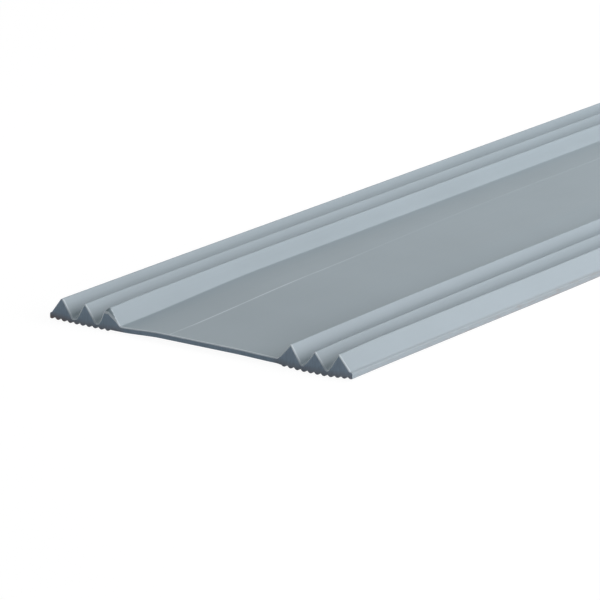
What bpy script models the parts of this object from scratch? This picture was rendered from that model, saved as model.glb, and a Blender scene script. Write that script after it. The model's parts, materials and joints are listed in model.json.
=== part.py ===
"""Flexible vinyl threshold strip.

One extrusion in real life: two ridged rails with a toothed underside, joined by a thin web.
It bends only where it is thin, so it is built here as the stiff blocks between those lines:
three ridges in each rail and two web panels, each with its origin on the living hinge that
carries it.  X runs along the strip, +Y to the rear rail, +Z up, and the floor is at z = 0.
"""
import math

import bmesh
import bpy
from mathutils import Vector

MM = 0.001

# The whole strip
STRIP_LENGTH = 914.4 * MM
WEB_WIDTH = 52.0 * MM

# Ridges of a rail, counted from its outer edge, with heights to their sharp corners
RIDGE_PITCH = 8.0 * MM
OUTER_RIDGE_HEIGHT = 7.3 * MM
MIDDLE_RIDGE_HEIGHT = 6.45 * MM
INNER_RIDGE_HEIGHT = 7.3 * MM
VALLEY_HEIGHT = 1.3 * MM
EDGE_HEIGHT = 1.5 * MM
CREST_RADIUS = 0.35 * MM
VALLEY_RADIUS = 0.6 * MM
EDGE_RADIUS = 0.4 * MM

# Round teeth under a rail, with a narrow flat land on each
TOOTH_PITCH = 2.13 * MM
TOOTH_DEPTH = 0.5 * MM
TOOTH_LAND = 0.4 * MM
FIRST_TOOTH_INSET = 0.55 * MM

# Web between the rails, which rises off the floor from its roots to a level middle
WEB_THICKNESS = 1.45 * MM
WEB_UNDERSIDE_HEIGHT = 0.4 * MM
WEB_RISE = 1.0 * MM
RISE_WIDTH = 14.0 * MM
FOLD_LINE_OFFSET = 11.5 * MM

# Living hinges: the slit between two blocks, and the axis's depth under the surface above it
VALLEY_SLIT = 0.3 * MM
VALLEY_AXIS_DEPTH = 0.45 * MM
ROOT_SLIT = 0.4 * MM
ROOT_AXIS_DEPTH = 0.42 * MM
FOLD_SLIT = 0.45 * MM
FOLD_AXIS_DEPTH = 0.12 * MM

# Faceting of the round stretches
ARC_STEPS = 4
TOOTH_FLANK_STEPS = 3
WEB_STEPS = 24

VINYL_COLOUR = (0.30, 0.35, 0.38, 1.0)
VINYL_ROUGHNESS = 0.5

REAR = 1
FRONT = -1
RAIL_WIDTH = 3 * RIDGE_PITCH
OUTER_VALLEY = RIDGE_PITCH
INNER_VALLEY = 2 * RIDGE_PITCH
ROOT_HEIGHT = WEB_UNDERSIDE_HEIGHT + WEB_THICKNESS


def rounded(corners):
    """Points along a line of (u, z, radius) corners, each corner between the ends an arc."""
    line = []
    for before, corner, after in zip(corners, corners[1:], corners[2:]):
        tip = Vector(corner[:2])
        back = Vector(before[:2]) - tip
        ahead = Vector(after[:2]) - tip
        half_angle = back.angle(ahead) / 2
        reach = min(corner[2] / math.tan(half_angle), back.length / 2, ahead.length / 2)
        radius = reach * math.tan(half_angle)
        start = tip + back.normalized() * reach
        end = tip + ahead.normalized() * reach
        inward = (back.normalized() + ahead.normalized()).normalized()
        centre = tip + inward * (radius / math.sin(half_angle))
        line.append(start)
        for k in range(1, ARC_STEPS):
            line.append(centre + radius * (start - centre).slerp(end - centre, k / ARC_STEPS))
        line.append(end)
    return [tuple(point) for point in line] + [corners[-1][:2]]


def rail_top():
    """Upper outline of a rail: u from its outer edge to the web, z from the tooth tips."""
    half_ridge = RIDGE_PITCH / 2
    return rounded([
        (0, 0, 0),
        (0, EDGE_HEIGHT, EDGE_RADIUS),
        (half_ridge, OUTER_RIDGE_HEIGHT, CREST_RADIUS),
        (OUTER_VALLEY, VALLEY_HEIGHT, VALLEY_RADIUS),
        (OUTER_VALLEY + half_ridge, MIDDLE_RIDGE_HEIGHT, CREST_RADIUS),
        (INNER_VALLEY, VALLEY_HEIGHT, VALLEY_RADIUS),
        (INNER_VALLEY + half_ridge, INNER_RIDGE_HEIGHT, CREST_RADIUS),
        (RAIL_WIDTH, ROOT_HEIGHT, 0),
    ])


def rail_underside():
    """Lower outline of a rail: a row of round teeth, then a plain stretch to the web."""
    reach = (TOOTH_PITCH - TOOTH_LAND) / 2
    flank = [k / TOOTH_FLANK_STEPS for k in range(TOOTH_FLANK_STEPS)]
    offsets = [(TOOTH_LAND / 2 + reach * t, TOOTH_DEPTH * (1 - math.cos(math.pi / 2 * t))) for t in flank]
    half_tooth = TOOTH_PITCH / 2
    line = [(FIRST_TOOTH_INSET - half_tooth, TOOTH_DEPTH)]
    middle = FIRST_TOOTH_INSET
    while middle + half_tooth < RAIL_WIDTH:
        line += [(middle - offset, z) for offset, z in reversed(offsets)]
        line += [(middle + offset, z) for offset, z in offsets]
        line.append((middle + half_tooth, TOOTH_DEPTH))
        middle += TOOTH_PITCH
    return line + [(RAIL_WIDTH, WEB_UNDERSIDE_HEIGHT)]


def height_at(line, u):
    """Height of a left-to-right line of points at u, or of its nearer end."""
    if u <= line[0][0]:
        return line[0][1]
    for (u0, z0), (u1, z1) in zip(line, line[1:]):
        if u <= u1:
            return z0 + (z1 - z0) * (u - u0) / (u1 - u0)
    return line[-1][1]


def stretch(line, start, end):
    """The part of a left-to-right line of points between two values of u."""
    inside = [point for point in line if start < point[0] < end]
    return [(start, height_at(line, start))] + inside + [(end, height_at(line, end))]


def vinyl(name):
    """Grey flexible vinyl with an extruded satin skin."""
    material = bpy.data.materials.new(name + "_vinyl")
    material.use_nodes = True
    shader = material.node_tree.nodes["Principled BSDF"]
    shader.inputs["Base Color"].default_value = VINYL_COLOUR
    shader.inputs["Roughness"].default_value = VINYL_ROUGHNESS
    shader.inputs["Metallic"].default_value = 0.0
    return material


def block(name, outline, hinge, strip):
    """A stiff block of the strip: a (y, z) outline drawn along X, with its origin on its hinge."""
    hinge_y, hinge_z = hinge
    shape = bmesh.new()
    corners = [shape.verts.new((-STRIP_LENGTH / 2, y - hinge_y, z - hinge_z)) for y, z in outline]
    near_end = shape.faces.new(corners)
    drawn = bmesh.ops.extrude_face_region(shape, geom=[near_end])["geom"]
    far_end = [item for item in drawn if isinstance(item, bmesh.types.BMVert)]
    bmesh.ops.translate(shape, verts=far_end, vec=(STRIP_LENGTH, 0, 0))
    bmesh.ops.recalc_face_normals(shape, faces=shape.faces)
    mesh = bpy.data.meshes.new(name)
    shape.to_mesh(mesh)
    shape.free()
    mesh.shade_smooth()
    mesh.set_sharp_from_angle(angle=math.radians(35))
    mesh.materials.append(vinyl(name))
    piece = bpy.data.objects.new(name, mesh)
    bpy.context.scene.collection.objects.link(piece)
    piece.parent = strip
    piece.location = (0, hinge_y, hinge_z)


def build_rail(side, label, strip):
    """The three ridges of one rail, each hinged along the side nearer the web."""
    top = rail_top()
    underside = rail_underside()
    half_slit = VALLEY_SLIT / 2
    ridges = [
        ("outer_ridge", 0, OUTER_VALLEY, half_slit, VALLEY_AXIS_DEPTH),
        ("middle_ridge", OUTER_VALLEY + half_slit, INNER_VALLEY, half_slit, VALLEY_AXIS_DEPTH),
        ("inner_ridge", INNER_VALLEY + half_slit, RAIL_WIDTH, ROOT_SLIT / 2, ROOT_AXIS_DEPTH),
    ]

    def across(u):
        return side * (WEB_WIDTH / 2 + RAIL_WIDTH - u)

    for name, start, hinge_line, clearance, axis_depth in ridges:
        end = hinge_line - clearance
        outline = stretch(top, start, end) + stretch(underside, start, end)[::-1]
        hinge = (across(hinge_line), height_at(top, hinge_line) - axis_depth)
        block(label + "_" + name, [(across(u), z) for u, z in outline], hinge, strip)


def web_top(y):
    """Height of the web's upper surface, which eases from its root up to the level middle."""
    ramp = min((WEB_WIDTH / 2 - abs(y)) / RISE_WIDTH, 1)
    return ROOT_HEIGHT + WEB_RISE * ramp ** 2 * (3 - 2 * ramp)


def build_web(strip):
    """The two web panels: the front one carries the strip, the rear one folds up from it."""
    def panel(name, start, end, hinge):
        steps = [start + (end - start) * k / WEB_STEPS for k in range(WEB_STEPS + 1)]
        top = [(y, web_top(y)) for y in steps]
        underside = [(y, z - WEB_THICKNESS) for y, z in top]
        block(name, top + underside[::-1], hinge, strip)

    root = WEB_WIDTH / 2 - ROOT_SLIT / 2
    fold_hinge = (FOLD_LINE_OFFSET, web_top(FOLD_LINE_OFFSET) - FOLD_AXIS_DEPTH)
    panel("rear_web", FOLD_LINE_OFFSET + FOLD_SLIT / 2, root, fold_hinge)
    panel("front_web", -root, FOLD_LINE_OFFSET - FOLD_SLIT / 2, (0, 0))


for leftover in list(bpy.data.objects):
    bpy.data.objects.remove(leftover)

threshold_strip = bpy.data.objects.new("threshold_strip", None)
bpy.context.scene.collection.objects.link(threshold_strip)
build_rail(REAR, "rear", threshold_strip)
build_web(threshold_strip)
build_rail(FRONT, "front", threshold_strip)
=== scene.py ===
import json
import math

import bpy
import numpy as np
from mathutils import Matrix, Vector


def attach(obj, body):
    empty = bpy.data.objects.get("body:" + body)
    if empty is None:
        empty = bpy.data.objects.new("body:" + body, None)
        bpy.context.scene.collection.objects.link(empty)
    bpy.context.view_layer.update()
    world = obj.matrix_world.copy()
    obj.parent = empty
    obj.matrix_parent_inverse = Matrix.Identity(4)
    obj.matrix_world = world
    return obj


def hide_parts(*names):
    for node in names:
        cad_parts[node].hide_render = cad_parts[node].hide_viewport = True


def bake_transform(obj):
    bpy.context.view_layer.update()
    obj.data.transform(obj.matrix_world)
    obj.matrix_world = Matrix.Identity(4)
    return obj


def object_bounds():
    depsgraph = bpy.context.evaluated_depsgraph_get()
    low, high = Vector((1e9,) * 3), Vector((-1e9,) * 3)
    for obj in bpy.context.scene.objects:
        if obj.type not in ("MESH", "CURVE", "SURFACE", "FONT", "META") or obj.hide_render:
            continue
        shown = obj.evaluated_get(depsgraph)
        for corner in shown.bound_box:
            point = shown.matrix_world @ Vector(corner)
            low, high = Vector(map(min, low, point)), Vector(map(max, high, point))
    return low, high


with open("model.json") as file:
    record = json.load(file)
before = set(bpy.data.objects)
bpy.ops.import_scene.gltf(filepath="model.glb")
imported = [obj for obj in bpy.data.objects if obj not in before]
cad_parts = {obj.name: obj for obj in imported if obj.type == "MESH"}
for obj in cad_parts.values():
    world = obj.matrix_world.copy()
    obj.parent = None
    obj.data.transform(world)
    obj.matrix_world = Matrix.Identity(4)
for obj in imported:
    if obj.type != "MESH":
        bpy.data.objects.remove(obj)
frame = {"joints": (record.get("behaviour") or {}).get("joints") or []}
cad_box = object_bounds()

# Web, the thin band of soft vinyl between the rails.  It is extruded in one with them, rises a
# little off the floor from its roots, and bends at the fold line, so it is two panels here.
MM = 0.001
CAD_LOW, CAD_HIGH = cad_box
HINGE = {joint["name"]: Vector(joint["pos_m"]) for joint in frame["joints"]}
REAR = 1
FRONT = -1
WEB_HALF_WIDTH = HINGE["rear_root"].y
WEB_THICKNESS = 1.45 * MM
WEB_ROOT_HEIGHT = 1.85 * MM
WEB_RISE = 1.0 * MM
WEB_RISE_WIDTH = 14.0 * MM
WEB_STEP = 0.8 * MM
ROOT_REACH = 2.0 * MM
FOLD_REACH = 3.0 * MM


def linear(hex_colour):
    """An sRGB hex colour as linear RGBA."""
    levels = [int(hex_colour[k:k + 2], 16) / 255 for k in (1, 3, 5)]
    return [c / 12.92 if c <= 0.04045 else ((c + 0.055) / 1.055) ** 2.4 for c in levels] + [1.0]


def smooth(value, start, end):
    """0 before start, 1 after end, and an even ease between them."""
    share = np.clip((value - start) / (end - start), 0, 1)
    return share * share * (3 - 2 * share)


def wire(tree, kind, inputs=(), result=0, **settings):
    """Adds a node with its settings, feeds its inputs by place or by name, and gives one output."""
    node = tree.nodes.new(kind)
    for name, value in settings.items():
        setattr(node, name, value)
    for place, value in inputs.items() if isinstance(inputs, dict) else enumerate(inputs):
        if isinstance(value, bpy.types.NodeSocket):
            tree.links.new(value, node.inputs[place])
        else:
            node.inputs[place].default_value = value
    return node.outputs[result] if node.outputs else node


def calc(tree, operation, *values, **settings):
    """Adds a math node over one to three values."""
    return wire(tree, "ShaderNodeMath", values, operation=operation, **settings)


def ramp(tree, value, start, end, low=0.0, high=1.0, **settings):
    """Adds a ramp that is low where value is at start, high where it is at end, and level beyond them."""
    inputs = {"Value": value, "From Min": start, "From Max": end, "To Min": low, "To Max": high}
    return wire(tree, "ShaderNodeMapRange", inputs, **settings)


def mixed(tree, share, under, over, **settings):
    """Adds a mix of two colours, with the given share of the second."""
    inputs = {0: share, 6: under, 7: over}
    return wire(tree, "ShaderNodeMix", inputs, result=2, data_type="RGBA", **settings)


def bare_material(name):
    """A material with no nodes yet."""
    material = bpy.data.materials.new(name)
    material.use_nodes = True
    material.node_tree.nodes.clear()
    return material


SOFT_GREY = "#94A3AA"
# Pale of whitened vinyl, also used for a painted highlight on the lips at a cut.
WHITENED_AND_HIGHLIGHT_GREY = "#DAE5EB"
TORN_GREY = "#8FA0A8"
# Brown of the floor scuffs, also used for the painted shade line at the front edge's ledge.
SCUFF_AND_SHADE_BROWN = "#857D76"
VINYL_IOR = 1.53
CLOUD_SIZE = 22 * MM
CLOUD_STRENGTH = 0.10
GRAIN_SIZE = 0.35 * MM
GRAIN_RELIEF = 0.25
DIE_LINE_SIZE = (90 * MM, 0.9 * MM, 0.9 * MM)
DIE_LINE_STRENGTH = 0.06
SKIN_ROUGHNESS = 0.42
DIE_LINE_ROUGHNESS = 0.16
SKIN_RELIEF = 0.03 * MM
SKIN_BUMP = 0.25
SCUFF_SIZE = (5 * MM, 2 * MM, 0.7 * MM)
SCUFF_NOISE = (0.5, 0.72)
SCUFF_STRENGTH = (0.2, 0.9)
SCUFF_HEIGHT = (2.0 * MM, 1.5 * MM)
SCUFF_DEPTH = (1.0 * MM, 0.6 * MM)
SCUFF_REACH = 150 * MM
SCUFF_AT_CUT = 0.2
LEDGE_HEIGHT = 1.9 * MM
LEDGE_BAND = 0.25 * MM
# How dark the painted shade line at the front edge's ledge is.
LEDGE_SHADE_STRENGTH = 0.1
FOOT_HEIGHT = (0.5 * MM, 0.2 * MM)
FOOT_STRENGTH = 0.4


def satin_vinyl():
    """Soft extruded PVC: a satin skin with faint die lines, paler where it was bent or cut, and on the cut
    lips partly with a painted highlight.

    Its front foot is scuffed brown by the floor, more so further along, and a thin line of painted shade in
    the same brown darkens the ledge near the top of its front edge.
    """
    material = bare_material("satin_extruded_pvc")
    tree = material.node_tree
    drawn = wire(tree, "ShaderNodeAttribute", attribute_name="drawn", result="Vector")
    wear_and_highlight = wire(tree, "ShaderNodeAttribute", attribute_name="wear_and_highlight", result="Fac")
    along = wire(tree, "ShaderNodeSeparateXYZ", (drawn,), result="X")
    across = wire(tree, "ShaderNodeSeparateXYZ", (drawn,), result="Y")
    height = wire(tree, "ShaderNodeSeparateXYZ", (drawn,), result="Z")
    scale = [1 / size for size in DIE_LINE_SIZE]
    streaks = wire(tree, "ShaderNodeMapping", {"Vector": drawn, "Scale": scale})
    streaks = wire(tree, "ShaderNodeTexNoise",
                   {"Vector": streaks, "Scale": 1.0, "Detail": 3.0, "Roughness": 0.6})
    clouds = wire(tree, "ShaderNodeTexNoise", {"Vector": drawn, "Scale": 1 / CLOUD_SIZE, "Detail": 2.0})
    grain = wire(tree, "ShaderNodeTexNoise", {"Vector": drawn, "Scale": 1 / GRAIN_SIZE, "Detail": 2.0})
    shade = calc(tree, "MULTIPLY_ADD", clouds, CLOUD_STRENGTH, 1 - CLOUD_STRENGTH / 2)
    shade = calc(tree, "MULTIPLY_ADD", streaks, DIE_LINE_STRENGTH, shade)
    shade = calc(tree, "SUBTRACT", shade, DIE_LINE_STRENGTH / 2)
    skin = mixed(tree, 1.0, linear(SOFT_GREY), shade, blend_type="MULTIPLY")
    # Paleness of blade and crease whitening, and of the painted highlight on the lips at a cut.
    pale = calc(tree, "MULTIPLY", wear_and_highlight, 1.0, use_clamp=True)
    skin = mixed(tree, pale, skin, linear(WHITENED_AND_HIGHLIGHT_GREY))
    torn = calc(tree, "MULTIPLY", wear_and_highlight, -1.0, use_clamp=True)
    skin = mixed(tree, torn, skin, linear(TORN_GREY))
    scale = [1 / size for size in SCUFF_SIZE]
    scuffs_and_shade = wire(tree, "ShaderNodeMapping", {"Vector": drawn, "Scale": scale})
    scuffs_and_shade = wire(tree, "ShaderNodeTexNoise", {"Vector": scuffs_and_shade, "Scale": 1.0, "Detail": 4.0})
    scuffs_and_shade = ramp(tree, scuffs_and_shade, *SCUFF_NOISE, *SCUFF_STRENGTH)
    low = ramp(tree, height, *SCUFF_HEIGHT)
    scuffs_and_shade = calc(tree, "MULTIPLY", scuffs_and_shade, low)
    # A thin line of painted shade at the ledge of the front edge, where the small groove lies in shade.
    ledge_shade = calc(tree, "COMPARE", height, LEDGE_HEIGHT, LEDGE_BAND)
    scuffs_and_shade = calc(tree, "MULTIPLY_ADD", ledge_shade, LEDGE_SHADE_STRENGTH, scuffs_and_shade)
    foot = ramp(tree, height, *FOOT_HEIGHT)
    scuffs_and_shade = calc(tree, "MULTIPLY_ADD", foot, FOOT_STRENGTH, scuffs_and_shade)
    further = ramp(tree, along, CAD_LOW.x, CAD_LOW.x + SCUFF_REACH, SCUFF_AT_CUT)
    scuffs_and_shade = calc(tree, "MULTIPLY", scuffs_and_shade, further)
    front = ramp(tree, across, CAD_LOW.y + SCUFF_DEPTH[0], CAD_LOW.y + SCUFF_DEPTH[1])
    scuffs_and_shade = calc(tree, "MULTIPLY", scuffs_and_shade, front)
    skin = mixed(tree, scuffs_and_shade, skin, linear(SCUFF_AND_SHADE_BROWN))
    rough = calc(tree, "MULTIPLY_ADD", streaks, DIE_LINE_ROUGHNESS, SKIN_ROUGHNESS)
    relief = calc(tree, "MULTIPLY_ADD", grain, GRAIN_RELIEF, streaks)
    bump = wire(tree, "ShaderNodeBump", {"Height": relief, "Strength": SKIN_BUMP, "Distance": SKIN_RELIEF})
    shader = wire(tree, "ShaderNodeBsdfPrincipled",
                  {"Base Color": skin, "Roughness": rough, "Normal": bump, "IOR": VINYL_IOR})
    wire(tree, "ShaderNodeOutputMaterial", {"Surface": shader})
    return material


CUT_SLATE = "#92A6B8"
# Brown of grime and of painted shade from the floor, low on the cut's teeth.
GRIME_AND_SHADE_BROWN = "#79635B"
BLADE_ANGLE = math.radians(28)
BLADE_MARK_WIDTH = 0.5 * MM
BLADE_MARK_LENGTH = 3.0 * MM
BLADE_MARK_STRENGTH = 0.50
BLADE_MARK_DEPTH = 0.05 * MM
BLADE_MARK_BUMP = 0.4
CUT_ROUGHNESS = 0.7
GRIME_AND_SHADE_TOP = 2.2 * MM
GRIME_AND_SHADE_DEPTH = (11 * MM, 1 * MM)
GRIME_AND_SHADE_IN_FRONT = 0.5


def cut_vinyl():
    """The same PVC where a blade went through it: the dull inside, with drag marks, darker and browner
    towards the teeth.

    That darkening is painted shade from the floor mixed with grime: most at the rear rail's outer teeth,
    none on the web's cut.
    """
    material = bare_material("knife_cut_pvc")
    tree = material.node_tree
    drawn = wire(tree, "ShaderNodeAttribute", attribute_name="drawn", result="Vector")
    across = wire(tree, "ShaderNodeSeparateXYZ", (drawn,), result="Y")
    height = wire(tree, "ShaderNodeSeparateXYZ", (drawn,), result="Z")
    scale = (0, 1 / BLADE_MARK_WIDTH, 1 / BLADE_MARK_LENGTH)
    marks = wire(tree, "ShaderNodeMapping",
                 {"Vector": drawn, "Rotation": (BLADE_ANGLE, 0, 0), "Scale": scale})
    marks = wire(tree, "ShaderNodeTexNoise",
                 {"Vector": marks, "Scale": 1.0, "Detail": 3.0, "Roughness": 0.6})
    shade = calc(tree, "MULTIPLY_ADD", marks, BLADE_MARK_STRENGTH, 1 - BLADE_MARK_STRENGTH / 2)
    body = mixed(tree, 1.0, linear(CUT_SLATE), shade, blend_type="MULTIPLY")
    # Painted shade from the floor, mixed with grime, darkens the cut to brown towards the teeth.
    grime_and_shade = ramp(tree, height, GRIME_AND_SHADE_TOP, 0)
    rear = ramp(tree, across, CAD_HIGH.y - GRIME_AND_SHADE_DEPTH[0], CAD_HIGH.y - GRIME_AND_SHADE_DEPTH[1], GRIME_AND_SHADE_IN_FRONT)
    grime_and_shade = calc(tree, "MULTIPLY", grime_and_shade, rear)
    rail = calc(tree, "ABSOLUTE", across)
    rail = ramp(tree, rail, WEB_HALF_WIDTH - ROOT_REACH, WEB_HALF_WIDTH)
    grime_and_shade = calc(tree, "MULTIPLY", grime_and_shade, rail)
    body = mixed(tree, grime_and_shade, body, linear(GRIME_AND_SHADE_BROWN))
    bump = wire(tree, "ShaderNodeBump",
                {"Height": marks, "Strength": BLADE_MARK_BUMP, "Distance": BLADE_MARK_DEPTH})
    shader = wire(tree, "ShaderNodeBsdfPrincipled",
                  {"Base Color": body, "Roughness": CUT_ROUGHNESS, "Normal": bump, "IOR": VINYL_IOR})
    wire(tree, "ShaderNodeOutputMaterial", {"Surface": shader})
    return material


LIP_FADE = 0.4
CRISP_ANGLE = math.radians(32)
CUT_TOLERANCE = 0.002 * MM


def drawing_tree():
    """Draws a closed profile along the strip, with stations crowded at its two cut ends.

    The blade rolls the upper edge over there, so near a cut each point moves along its own inward
    vector, and is paler the nearer it is.
    """
    tree = bpy.data.node_groups.new("drawn_through_the_die", "GeometryNodeTree")
    sockets = {"Profile": "Geometry", "Length": "Float", "Stations": "Int", "Crowding": "Float",
               "Lip Depth": "Float", "Lip Drop": "Float", "Skin": "Material", "Cut": "Material"}
    for name, kind in sockets.items():
        tree.interface.new_socket(name, in_out="INPUT", socket_type="NodeSocket" + kind)
    tree.interface.new_socket("Strip", in_out="OUTPUT", socket_type="NodeSocketGeometry")
    given = tree.nodes.new("NodeGroupInput").outputs
    half = calc(tree, "MULTIPLY", given["Length"], 0.5)
    near = calc(tree, "MULTIPLY", given["Length"], -0.5)
    near = wire(tree, "ShaderNodeCombineXYZ", (near,))
    far = wire(tree, "ShaderNodeCombineXYZ", (half,))
    line = wire(tree, "GeometryNodeCurvePrimitiveLine", {"Start": near, "End": far})
    line = wire(tree, "GeometryNodeResampleCurve", {"Curve": line, "Count": given["Stations"]})
    wave = wire(tree, "GeometryNodeSplineParameter", result="Factor")
    wave = calc(tree, "MULTIPLY", wave, -math.tau)
    wave = calc(tree, "SINE", wave)
    reach = calc(tree, "MULTIPLY", given["Length"], given["Crowding"])
    reach = calc(tree, "DIVIDE", reach, math.tau)
    wave = calc(tree, "MULTIPLY", wave, reach)
    wave = wire(tree, "ShaderNodeCombineXYZ", (wave,))
    line = wire(tree, "GeometryNodeSetPosition", {"Geometry": line, "Offset": wave})
    profile = wire(tree, "GeometryNodeMeshToCurve", (given["Profile"],))
    strip = wire(tree, "GeometryNodeCurveToMesh",
                 {"Curve": line, "Profile Curve": profile, "Fill Caps": True})
    place = wire(tree, "GeometryNodeInputPosition")
    from_middle = wire(tree, "ShaderNodeSeparateXYZ", (place,), result="X")
    from_middle = calc(tree, "ABSOLUTE", from_middle)
    from_cut = calc(tree, "SUBTRACT", half, from_middle)
    share = ramp(tree, from_cut, 0.0, given["Lip Depth"], 1.0, 0.0)
    fall = calc(tree, "MULTIPLY", share, share)
    fall = calc(tree, "SUBTRACT", 1.0, fall)
    fall = calc(tree, "SQRT", fall)
    fall = calc(tree, "SUBTRACT", 1.0, fall)
    fall = calc(tree, "MULTIPLY", fall, given["Lip Drop"])
    inward = wire(tree, "GeometryNodeInputNamedAttribute", ("inward",), data_type="FLOAT_VECTOR")
    inward = wire(tree, "ShaderNodeVectorMath", {"Vector": inward, "Scale": fall}, operation="SCALE")
    paler = ramp(tree, share, 0.0, LIP_FADE, interpolation_type="SMOOTHSTEP")
    wear_and_highlight = wire(tree, "GeometryNodeInputNamedAttribute", ("wear_and_highlight",), data_type="FLOAT")
    wear_and_highlight = calc(tree, "MULTIPLY", wear_and_highlight, paler)
    strip = wire(tree, "GeometryNodeStoreNamedAttribute",
                 {"Geometry": strip, "Name": "wear_and_highlight", "Value": wear_and_highlight}, data_type="FLOAT", domain="POINT")
    strip = wire(tree, "GeometryNodeSetPosition", {"Geometry": strip, "Offset": inward})
    bend = wire(tree, "GeometryNodeInputMeshEdgeAngle", result="Unsigned Angle")
    even = calc(tree, "LESS_THAN", bend, CRISP_ANGLE)
    strip = wire(tree, "GeometryNodeSetShadeSmooth",
                 {"Geometry": strip, "Shade Smooth": even}, domain="EDGE")
    strip = wire(tree, "GeometryNodeRealizeInstances", (strip,))
    strip = wire(tree, "GeometryNodeSetMaterial", {"Geometry": strip, "Material": given["Skin"]})
    at_cut = calc(tree, "SUBTRACT", half, CUT_TOLERANCE)
    at_cut = calc(tree, "GREATER_THAN", from_middle, at_cut)
    strip = wire(tree, "GeometryNodeSetMaterial",
                 {"Geometry": strip, "Selection": at_cut, "Material": given["Cut"]})
    wire(tree, "NodeGroupOutput", (strip,))
    return tree


SKIN = satin_vinyl()
CUT = cut_vinyl()
DRAWING = drawing_tree()
STATIONS = 161
CROWDING = 0.985
LIP_DEPTH = 0.6 * MM
LIP_DROP = 0.3 * MM
# Lips that face the front get this share of the paleness; the full paleness on the others is partly a
# painted highlight.
FRONT_LIP_PALE = 0.52
LEAST_FACING = 0.2
FULL_FACING = 0.7
REAR_ROLL = 0.6
ROLL_LOW = 2.2 * MM
ROLL_HIGH = 3.0 * MM
WALL_DEPTH = (0.8 * MM, 0.3 * MM)
REAR_SLOPE_DEPTH = (4.2 * MM, 3.6 * MM)
ARC_STEPS = 10
LEAST_RADIUS = 0.03 * MM
FLANK_STEP = 0.2 * MM


def rounded(corners, inset=0.0):
    """Points along a line of (y, z, radius) corners, moved inward by inset, with an arc at each corner."""
    places = [Vector(corner[:2]) for corner in corners]
    runs = [(after - before).normalized() for before, after in zip(places, places[1:])]
    inner = [Vector((run.y, -run.x)) for run in runs]
    mitres = [inner[0]] + [(a + b) / (1 + a.dot(b)) for a, b in zip(inner, inner[1:])] + [inner[-1]]
    tips = [place + mitre * inset for place, mitre in zip(places, mitres)]
    line = [tips[0]]
    for k in range(1, len(tips)):
        radius = corners[k][2]
        stops = [tips[k]]
        if radius:
            hollow = runs[k - 1].cross(runs[k]) > 0
            radius = max(radius + (inset if hollow else -inset), LEAST_RADIUS)
            back = (tips[k - 1] - tips[k]).normalized()
            ahead = (tips[k + 1] - tips[k]).normalized()
            half_angle = back.angle(ahead) / 2
            reach = radius / math.tan(half_angle)
            centre = tips[k] + (back + ahead).normalized() * (radius / math.sin(half_angle))
            first = tips[k] + back * reach - centre
            last = tips[k] + ahead * reach - centre
            stops = [centre + first.slerp(last, step / ARC_STEPS) * radius for step in range(ARC_STEPS + 1)]
        gaps = max(round((places[k] - places[k - 1]).length / FLANK_STEP), 1)
        start = line[-1]
        line += [start.lerp(stops[0], step / gaps) for step in range(1, gaps)]
        line += stops
    return np.array(line)


def upper_line(corners):
    """Rows of (y, z, inward y, inward z) along the strip's upper side, from front to rear.

    The blade left no lip on the two outer walls, or on the rear slope where it went in, and rolled
    the slopes that face the rear over further.
    """
    line = rounded(corners)
    inward = (rounded(corners, LIP_DROP) - line) / LIP_DROP
    rear_facing = smooth(-inward[:, :1], LEAST_FACING, FULL_FACING)
    rear_facing *= smooth(line[:, 1:], ROLL_LOW, ROLL_HIGH)
    inward *= 1 + REAR_ROLL * rear_facing
    walls = smooth(np.abs(line[:, :1]), CAD_HIGH.y - WALL_DEPTH[0], CAD_HIGH.y - WALL_DEPTH[1])
    rear_slope = smooth(line[:, :1], CAD_HIGH.y - REAR_SLOPE_DEPTH[0], CAD_HIGH.y - REAR_SLOPE_DEPTH[1])
    return np.hstack([line, inward * (1 - np.maximum(walls, rear_slope))])


def between(line, low, high):
    """The rows of a front-to-rear line between two places across the strip."""
    ends = {edge: [[np.interp(edge, line[:, 0], column) for column in line.T]] for edge in (low, high)}
    inside = line[(line[:, 0] > low) & (line[:, 0] < high)]
    head = ends[low] if low > line[0, 0] else line[:0]
    tail = ends[high] if high < line[-1, 0] else line[:0]
    return np.vstack([head, inside, tail])


CURL_REACH = 121 * MM
OUTER_CURL = {REAR: math.radians(2.0), FRONT: math.radians(5.0)}
INNER_CURL = {REAR: math.radians(0.45), FRONT: math.radians(3.0)}
CROWN_REACH = 67 * MM
CROWN = math.radians(1.0)
WEB_LIFT = 1.0 * MM
LIFT_ON_RAIL = 4.0 * MM
LEVEL_ON_RAIL = 1.0 * MM
WEB_SAG = 0.36 * MM
GROOVE_SOFTNESS = 0.75 * MM
PRESS_REACH = 16 * MM
PRESSED_REAR = np.array([0.0, 0.2, 0.3]) * MM
PRESSED_FRONT = np.array([0.3, 0.3, 0.1]) * MM
RIDGES = 3
RIDGE_FOOT = 0.1
RIDGE_SHOULDER = 0.46
RIDGE_CREST = 0.5
DRAG_HEIGHT = np.array([0.9, 1.3, 3.3, 5.2, 6.6]) * MM
DRAG_MIDDLE = np.array([0.0, 0.75, 0.35, 0.0, 0.0]) * MM
DRAG_INNER = np.array([0.0, 0.45, 0.0, -0.55, 0.0]) * MM
DRAG_DOWN = np.array([0.0, 0.35, 0.1, 0.0, 0.0]) * MM


def turned(y, z, centre_y, centre_z, angle):
    """y and z after a turn about a line along the strip."""
    across = y - centre_y
    up = z - centre_z
    return (centre_y + across * np.cos(angle) - up * np.sin(angle),
            centre_z + across * np.sin(angle) + up * np.cos(angle))


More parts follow.
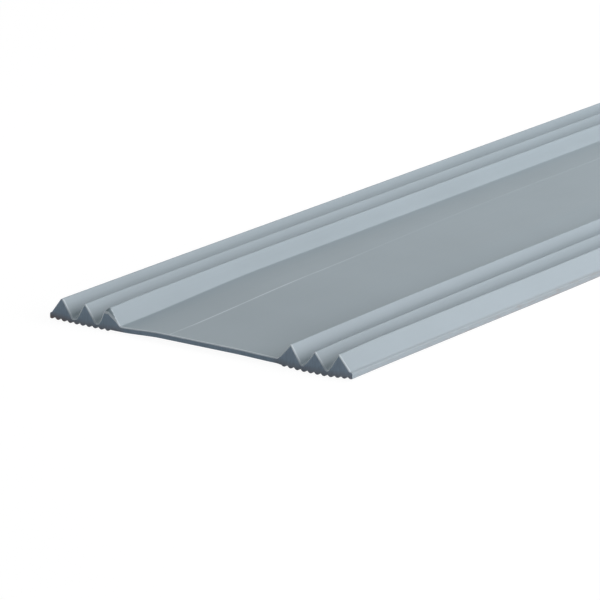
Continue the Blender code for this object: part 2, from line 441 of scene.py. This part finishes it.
def lie(flat):
    """Where points of the flat strip lie on the floor.

    At the cut the rails are curled, their crests pressed down and the rear grooves dragged by the
    blade.  Further along the strip is crowned a little.
    """
    x, y, z = flat.T
    along = x - CAD_LOW.x
    side = np.sign(y)
    across = np.abs(y)
    at_blade = 1 - smooth(along, 0, PRESS_REACH)
    place = np.clip((CAD_HIGH.y - across) / (CAD_HIGH.y - WEB_HALF_WIDTH) * RIDGES, 0, RIDGES - 0.01)
    ridge = place.astype(int)
    outer_flank = smooth(place - ridge, 0, RIDGE_FOOT)
    outer_flank *= 1 - smooth(place - ridge, RIDGE_SHOULDER, RIDGE_CREST)
    in_groove = (place > RIDGE_CREST) * (place < RIDGES - RIDGE_CREST) * (side > 0) * at_blade
    drag = np.where(ridge == 1, np.interp(z, DRAG_HEIGHT, DRAG_MIDDLE), 0)
    drag = np.where(ridge == 2, np.interp(z, DRAG_HEIGHT, DRAG_INNER), drag)
    y = y - drag * outer_flank * in_groove
    press = np.where(side > 0, PRESSED_REAR[ridge], PRESSED_FRONT[ridge])
    press *= np.clip((z - WEB_ROOT_HEIGHT) / (CAD_HIGH.z - WEB_ROOT_HEIGHT), 0, 1)
    press *= across > WEB_HALF_WIDTH
    z = z - press * at_blade - np.interp(z, DRAG_HEIGHT, DRAG_DOWN) * in_groove
    curl = 1 - smooth(along, 0, CURL_REACH)
    crown = CROWN * smooth(along, 0, CROWN_REACH)
    outer_curl = curl * np.where(side > 0, OUTER_CURL[REAR], OUTER_CURL[FRONT])
    inner_curl = curl * np.where(side > 0, INNER_CURL[REAR], INNER_CURL[FRONT])
    outer = HINGE["rear_outer_valley"]
    inner = HINGE["rear_inner_valley"]
    on_outer = smooth(across, outer.y - GROOVE_SOFTNESS, outer.y + GROOVE_SOFTNESS)
    on_inner = 1 - smooth(across, inner.y - GROOVE_SOFTNESS, inner.y + GROOVE_SOFTNESS)
    on_web = 1 - smooth(across, WEB_HALF_WIDTH - ROOT_REACH, WEB_HALF_WIDTH + LEVEL_ON_RAIL)
    y, z = turned(y, z, side * outer.y, outer.z, side * outer_curl * on_outer)
    rail_y, rail_z = turned(y, z, side * inner.y, inner.z, -side * inner_curl * on_inner)
    rail_y, rail_z = turned(rail_y, rail_z, side * CAD_HIGH.y, 0, -side * crown)
    near_root = 1 - smooth(WEB_HALF_WIDTH - across, 0, WEB_RISE_WIDTH)
    web_z = z + (inner.y - WEB_HALF_WIDTH) * np.sin(inner_curl) * near_root
    web_z -= WEB_SAG * curl * (1 - near_root)
    web_z += (CAD_HIGH.y - WEB_HALF_WIDTH) * np.sin(crown)
    y = rail_y + (y - rail_y) * on_web
    z = rail_z + (web_z - rail_z) * on_web
    z += WEB_LIFT * crown / CROWN * (1 - smooth(across, WEB_HALF_WIDTH, WEB_HALF_WIDTH + LIFT_ON_RAIL))
    return np.clip(np.stack([x, y, z], axis=1), CAD_LOW, CAD_HIGH)


def draw(name, upper, lower):
    """Draws a piece of the strip from its upper and lower lines, and lays it on the floor.

    Its lip at a cut is pale, partly whitened by the blade and partly a painted highlight, less so where it
    faces the front.
    """
    count = len(lower) + len(upper)
    loop = np.vstack([lower[:, :2], upper[::-1, :2]])
    profile = bpy.data.meshes.new(name)
    profile.from_pydata([(-y, -z, 0) for y, z in loop], [(k, (k + 1) % count) for k in range(count)], [])
    inward = np.zeros((count, 3))
    inward[len(lower):, 1:] = upper[::-1, 2:]
    profile.attributes.new("inward", "FLOAT_VECTOR", "POINT").data.foreach_set("vector", inward.ravel())
    lip = np.minimum(np.linalg.norm(inward, axis=1), 1)
    # Lips facing the front are less pale; on the others the paleness is partly a painted highlight.
    lip *= np.where(inward[:, 1] > LEAST_FACING, FRONT_LIP_PALE, 1)
    profile.attributes.new("wear_and_highlight", "FLOAT", "POINT").data.foreach_set("value", lip)
    piece = bpy.data.objects.new(name, profile)
    bpy.context.scene.collection.objects.link(piece)
    modifier = piece.modifiers.new("drawn", "NODES")
    modifier.node_group = DRAWING
    sockets = {item.name: item.identifier for item in DRAWING.interface.items_tree}
    values = {"Length": CAD_HIGH.x - CAD_LOW.x, "Stations": STATIONS, "Crowding": CROWDING,
              "Lip Depth": LIP_DEPTH, "Lip Drop": LIP_DROP, "Skin": SKIN, "Cut": CUT}
    for label, value in values.items():
        modifier[sockets[label]] = value
    finished = piece.evaluated_get(bpy.context.evaluated_depsgraph_get())
    mesh = bpy.data.meshes.new_from_object(finished)
    piece.modifiers.remove(modifier)
    piece.data = mesh
    flat = np.zeros(len(mesh.vertices) * 3)
    mesh.vertices.foreach_get("co", flat)
    mesh.attributes.new("drawn", "FLOAT_VECTOR", "POINT").data.foreach_set("vector", flat)
    mesh.vertices.foreach_set("co", lie(flat.reshape(-1, 3)).ravel())
    mesh.update()
    return piece


def work(piece, change):
    """Lets a change move a piece's flat points and whiten or tear them, given the points and their
    paleness.

    The piece is then laid down again.
    """
    mesh = piece.data
    flat = np.zeros(len(mesh.vertices) * 3)
    wear_and_highlight = np.zeros(len(mesh.vertices))
    mesh.attributes["drawn"].data.foreach_get("vector", flat)
    mesh.attributes["wear_and_highlight"].data.foreach_get("value", wear_and_highlight)
    change(flat.reshape(-1, 3), wear_and_highlight)
    mesh.vertices.foreach_set("co", lie(flat.reshape(-1, 3)).ravel())
    mesh.attributes["wear_and_highlight"].data.foreach_set("value", wear_and_highlight)
    mesh.update()


def web_top(y):
    """Height of the web's upper side."""
    return WEB_ROOT_HEIGHT + WEB_RISE * smooth(WEB_HALF_WIDTH - abs(y), 0, WEB_RISE_WIDTH)


def web_lines(low, high, step):
    """Upper and lower lines of the web between two places across it."""
    steps = np.linspace(low, high, round((high - low) / step) + 1)
    upper = upper_line([(y, web_top(y), 0) for y in steps])
    return upper, np.array([(y, web_top(y) - WEB_THICKNESS) for y in steps])


FOLD = HINGE["fold_line"].y
front_web = draw("front_web_panel", *web_lines(ROOT_REACH - WEB_HALF_WIDTH, FOLD - FOLD_REACH, WEB_STEP))
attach(front_web, "front_web")
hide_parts("front_web")
rear_web = draw("rear_web_panel", *web_lines(FOLD + FOLD_REACH, WEB_HALF_WIDTH - ROOT_REACH, WEB_STEP))
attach(rear_web, "rear_web")
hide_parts("rear_web")

# Fold line, the narrow stretch of web that was creased when the strip was folded over on itself.
# It is the same vinyl and carries the rear panel as a living hinge.  Its crease stands up as a fine
# pale line, which wanders towards the front at the cut and fades further along.
FOLD_STEP = 0.1 * MM
CREASE_HEIGHT = 0.06 * MM
CREASE_WIDTH = 0.24 * MM
CREASE_AT_CUT = FOLD - 2.0 * MM
CREASE_DRIFT = 3.0 * MM
DRIFT_START = 60 * MM
DRIFT_END = 180 * MM
CREASE_PALE = 0.8
CREASE_PALE_FAR = 0.13
FADE_START = 20 * MM
FADE_END = 115 * MM
CREASE_UNEVEN = 0.25
UNEVEN_LENGTHS = (3.1 * MM, 7.7 * MM)
DULL_AT_CUT = 0.5
DULL_START = 5 * MM
DULL_END = 25 * MM


def crease(points, wear_and_highlight):
    """Raises and whitens the fold's crease along the web's upper side."""
    x, y, z = points.T
    along = x - CAD_LOW.x
    line = CREASE_AT_CUT + CREASE_DRIFT * smooth(along, DRIFT_START, DRIFT_END)
    ridge = np.exp(-((y - line) / CREASE_WIDTH) ** 2)
    ridge *= z > web_top(y) - WEB_THICKNESS / 2
    points[:, 2] += CREASE_HEIGHT * ridge
    whitened = CREASE_PALE + (CREASE_PALE_FAR - CREASE_PALE) * smooth(along, FADE_START, FADE_END)
    short_wave, long_wave = (np.sin(along / length) for length in UNEVEN_LENGTHS)
    whitened *= 1 - CREASE_UNEVEN * (1 + short_wave * long_wave)
    whitened *= DULL_AT_CUT + (1 - DULL_AT_CUT) * smooth(along, DULL_START, DULL_END)
    wear_and_highlight[:] = np.maximum(wear_and_highlight, whitened * ridge)


fold = draw("fold_line_hinge", *web_lines(FOLD - FOLD_REACH, FOLD + FOLD_REACH, FOLD_STEP))
work(fold, crease)
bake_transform(fold)

# Ridges, three sharp ribs of solid vinyl on each rail that stop draughts and water at the door.
# They leave the die with the web, and stand on rows of small round teeth that key into adhesive.
# The blade tore a small chip off the rear rail's inner crest.
HALF_WIDTH = CAD_HIGH.y
RIDGE_PITCH = 8.0 * MM
OUTER_RIDGE_HEIGHT = {REAR: 6.55 * MM, FRONT: 6.8 * MM}
MIDDLE_RIDGE_HEIGHT = {REAR: 6.6 * MM, FRONT: 6.45 * MM}
INNER_RIDGE_HEIGHT = 6.8 * MM
GROOVE_HEIGHT = 1.3 * MM
CREST_RADIUS = 0.35 * MM
GROOVE_RADIUS = 0.6 * MM
ROOT_RADIUS = 0.8 * MM
ROOT_POINTS = 5
EDGE_FOOT = 0.2 * MM
EDGE_HEIGHT = 1.55 * MM
EDGE_RADIUS = 0.35 * MM
EDGE_LEDGE = 0.65 * MM
LEDGE_RADIUS = 0.45 * MM
PAST_EDGE = -1 * MM
TOOTH_PITCH = 2.13 * MM
TOOTH_DEPTH = 0.7 * MM
TOOTH_LAND = 0.25 * MM
FIRST_TOOTH = 0.55 * MM
TOOTH_STEPS = 5
GROOVE_REACH = 0.75 * MM
ROOT_ON_RAIL = 1.0 * MM


def rail_corners(side):
    """Corners (from the outer edge, z, radius) along a rail's upper side and a little onto the web."""
    half_ridge = RIDGE_PITCH / 2
    width = RIDGES * RIDGE_PITCH
    on_web = np.linspace(0, ROOT_REACH + WEB_STEP, ROOT_POINTS)[1:]
    return [
        (0, EDGE_FOOT, 0),
        (0, EDGE_HEIGHT, EDGE_RADIUS),
        (EDGE_LEDGE, LEDGE_HEIGHT, LEDGE_RADIUS),
        (half_ridge, OUTER_RIDGE_HEIGHT[side], CREST_RADIUS),
        (2 * half_ridge, GROOVE_HEIGHT, GROOVE_RADIUS),
        (3 * half_ridge, MIDDLE_RIDGE_HEIGHT[side], CREST_RADIUS),
        (4 * half_ridge, GROOVE_HEIGHT, GROOVE_RADIUS),
        (5 * half_ridge, INNER_RIDGE_HEIGHT, CREST_RADIUS),
        (width, WEB_ROOT_HEIGHT, ROOT_RADIUS),
    ] + [(width + step, web_top(WEB_HALF_WIDTH - step), 0) for step in on_web]


def rail_teeth():
    """Points (from the outer edge, z) along a rail's toothed underside and a little onto the web."""
    flank = (TOOTH_PITCH - TOOTH_LAND) / 2
    shares = [k / TOOTH_STEPS for k in range(TOOTH_STEPS)]
    half = [(TOOTH_LAND / 2 + flank * t, TOOTH_DEPTH * (1 - math.cos(math.pi / 2 * t))) for t in shares]
    line = []
    middle = FIRST_TOOTH
    while middle + TOOTH_PITCH / 2 < RIDGES * RIDGE_PITCH:
        line += [(middle - offset, z) for offset, z in reversed(half)]
        line += [(middle + offset, z) for offset, z in half]
        line.append((middle + TOOTH_PITCH / 2, TOOTH_DEPTH))
        middle += TOOTH_PITCH
    root = [(u, z - WEB_THICKNESS) for u, z, radius in rail_corners(REAR)[-ROOT_POINTS:]]
    return line[:-2] + root


def rail_lines(side):
    """A rail's upper and lower lines in the strip's frame, from front to rear."""
    corners = [(side * (HALF_WIDTH - u), z, radius) for u, z, radius in rail_corners(side)]
    teeth = [(side * (HALF_WIDTH - u), z) for u, z in rail_teeth()]
    return upper_line(corners[::-side]), np.array(teeth[::-side])


CHIP_HEIGHT = 4.9 * MM
CHIP_CLIMB = 1.95
CHIP_FALL = 0.75
CHIP_REACH = 3.0 * MM
CHIP_RIM = 0.25 * MM
CHIP_RIM_START = 0.4 * MM
CHIP_LIP = 0.35 * MM
CHIPPED_CREST = HALF_WIDTH - 2.5 * RIDGE_PITCH
TORN_TEETH = HALF_WIDTH - FIRST_TOOTH - 9.5 * TOOTH_PITCH
TORN_START = 1.5 * MM
TORN_END = 4.0 * MM


def chip(points, wear_and_highlight):
    """Breaks the crest off at the cut, down to a torn facet with a whitened rim.

    The last tooth under it is torn off too.
    """
    x, y, z = points.T
    along = x - CAD_LOW.x
    facet = CHIP_HEIGHT + CHIP_CLIMB * along - CHIP_FALL * np.clip(CHIPPED_CREST - y, 0, CHIP_REACH)
    rim = np.exp(-((z - facet) / CHIP_RIM) ** 2) * (along > CHIP_RIM_START) * (z > CHIP_HEIGHT / 2)
    inside = (z > facet + CHIP_RIM / 5) & (along > CHIP_LIP)
    wear_and_highlight[:] = np.where(inside, -1, np.maximum(wear_and_highlight, rim))
    stub = (WEB_ROOT_HEIGHT - WEB_THICKNESS) * (1 - smooth(along, TORN_START, TORN_END))
    points[:, 2] = np.maximum(np.minimum(z, facet), stub * (y < TORN_TEETH))


RAILS = {"rear": (REAR, *rail_lines(REAR)), "front": (FRONT, *rail_lines(FRONT))}
for label, (side, upper, lower) in RAILS.items():
    for kind, start, end in (
        ("outer", PAST_EDGE, RIDGE_PITCH - GROOVE_REACH),
        ("middle", RIDGE_PITCH + GROOVE_REACH, 2 * RIDGE_PITCH - GROOVE_REACH),
        ("inner", 2 * RIDGE_PITCH + GROOVE_REACH, 3 * RIDGE_PITCH - ROOT_ON_RAIL),
    ):
        low, high = sorted((side * (HALF_WIDTH - start), side * (HALF_WIDTH - end)))
        ridge = draw(f"{label}_{kind}_rib", between(upper, low, high),
                     between(lower, max(low, -HALF_WIDTH), min(high, HALF_WIDTH)))
        if ridge.name == "rear_inner_rib":
            work(ridge, chip)
        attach(ridge, f"{label}_{kind}_ridge")
        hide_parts(f"{label}_{kind}_ridge")

# Groove floors, the thin vinyl left between two ridges, where a rail curls when it is rolled up.
# They are part of the same extrusion, so each one bends from ridge to ridge.
for label, (side, upper, lower) in RAILS.items():
    for kind, inner_body, outer_body in (("outer", "middle", "outer"), ("inner", "inner", "middle")):
        hinge = HINGE[f"{label}_{kind}_valley"]
        floor_piece = draw(f"{label}_{kind}_groove_hinge",
                           between(upper, hinge.y - GROOVE_REACH, hinge.y + GROOVE_REACH),
                           between(lower, hinge.y - GROOVE_REACH, hinge.y + GROOVE_REACH))
        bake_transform(floor_piece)

# Roots, where the web leaves the innermost ridge of each rail in a small fillet.
# The change from thick to thin makes the strip hinge here when a rail is lifted.
for label, (side, upper, lower) in RAILS.items():
    hinge = HINGE[f"{label}_root"]
    low, high = sorted((hinge.y - side * ROOT_REACH, hinge.y + side * ROOT_ON_RAIL))
    root = draw(f"{label}_root_hinge", between(upper, low, high), between(lower, low, high))
    if label == "rear":
        work(root, chip)
    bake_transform(root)

# Studio: a plain white floor, a soft key light from the front right, a weak one from behind, a small
# softbox over the strip that lights it more further along, and dim, even fill all round.
# The camera stands low and far off at the cut end, looking along the strip.
FLOOR_HALF = 12.0
FLOOR_GREY = (0.7, 0.7, 0.7, 1)
SHADOW_GREY = (0.1, 0.1, 0.1, 1)
FLOOR_GLOW = 0.945
KEY_PLACE = Vector((CAD_LOW.x + 0.485, -1.333, 0.488))
KEY_AIM = Vector((CAD_LOW.x, 0, 0))
KEY_SIZE = 1.4
KEY_POWER = 24.4
KEY_COLOUR = "#FFF8FA"
TOP_PLACE = Vector((CAD_LOW.x + 0.42, -0.15, 0.42))
TOP_AIM = Vector((CAD_LOW.x + 0.15, 0, 0))
TOP_SIZE = 0.5
TOP_POWER = 0.79
BACK_PLACE = Vector((CAD_LOW.x + 0.485, 1.333, 0.6))
BACK_POWER = 2.5
PLAIN_WHITE = "#FFFFFF"
FILL_COLOUR = "#727577"
CAMERA_PLACE = (CAD_LOW.x - 0.86852, -0.65066, 0.32778)
CAMERA_TURN = (math.radians(73.8558), 0, math.radians(-54.5973))
CAMERA_LENS = 256.1
CAMERA_REACH = 50


def seen_by_eye(tree):
    """1 for rays that show a surface to the camera, also by gloss or through glass, and 0 for the rest."""
    rays = tree.nodes.new("ShaderNodeLightPath").outputs
    seen = calc(tree, "MAXIMUM", rays["Is Camera Ray"], rays["Is Glossy Ray"])
    return calc(tree, "MAXIMUM", seen, rays["Is Transmission Ray"])


corners = [(x * FLOOR_HALF, y * FLOOR_HALF, 0) for x, y in ((-1, -1), (1, -1), (1, 1), (-1, 1))]
floor_mesh = bpy.data.meshes.new("studio_floor")
floor_mesh.from_pydata(corners, [], [(0, 1, 2, 3)])
floor = bpy.data.objects.new("studio_floor", floor_mesh)
bpy.context.scene.collection.objects.link(floor)
paper = bare_material("white_paper")
tree = paper.node_tree
plain = wire(tree, "ShaderNodeBsdfDiffuse", {"Color": FLOOR_GREY})
pale = wire(tree, "ShaderNodeBsdfDiffuse", {"Color": SHADOW_GREY})
white = wire(tree, "ShaderNodeEmission", {"Strength": FLOOR_GLOW})
shown = wire(tree, "ShaderNodeAddShader", (pale, white))
surface = wire(tree, "ShaderNodeMixShader", (seen_by_eye(tree), plain, shown))
wire(tree, "ShaderNodeOutputMaterial", {"Surface": surface})
floor_mesh.materials.append(paper)

world = bpy.data.worlds.new("studio")
bpy.context.scene.world = world
world.use_nodes = True
tree = world.node_tree
tree.nodes.clear()
sky = mixed(tree, seen_by_eye(tree), linear(FILL_COLOUR), linear(PLAIN_WHITE))
sky = wire(tree, "ShaderNodeBackground", {"Color": sky})
wire(tree, "ShaderNodeOutputWorld", {"Surface": sky})

for name, place, aim, size, power, colour in (
    ("key", KEY_PLACE, KEY_AIM, KEY_SIZE, KEY_POWER, KEY_COLOUR),
    ("back", BACK_PLACE, KEY_AIM, KEY_SIZE, BACK_POWER, PLAIN_WHITE),
    ("top", TOP_PLACE, TOP_AIM, TOP_SIZE, TOP_POWER, PLAIN_WHITE),
):
    light = bpy.data.lights.new(name, "AREA")
    light.shape = "DISK"
    light.size = size
    light.energy = power
    light.color = linear(colour)[:3]
    lamp = bpy.data.objects.new(name, light)
    lamp.location = place
    lamp.rotation_euler = (place - aim).to_track_quat("Z", "Y").to_euler()
    lamp.visible_camera = False
    bpy.context.scene.collection.objects.link(lamp)

camera_data = bpy.data.cameras.new("camera")
camera_data.lens = CAMERA_LENS
camera_data.clip_end = CAMERA_REACH
camera = bpy.data.objects.new("camera", camera_data)
camera.location = CAMERA_PLACE
camera.rotation_euler = CAMERA_TURN
bpy.context.scene.collection.objects.link(camera)
bpy.context.scene.camera = camera
bpy.context.scene.view_settings.view_transform = "Standard"
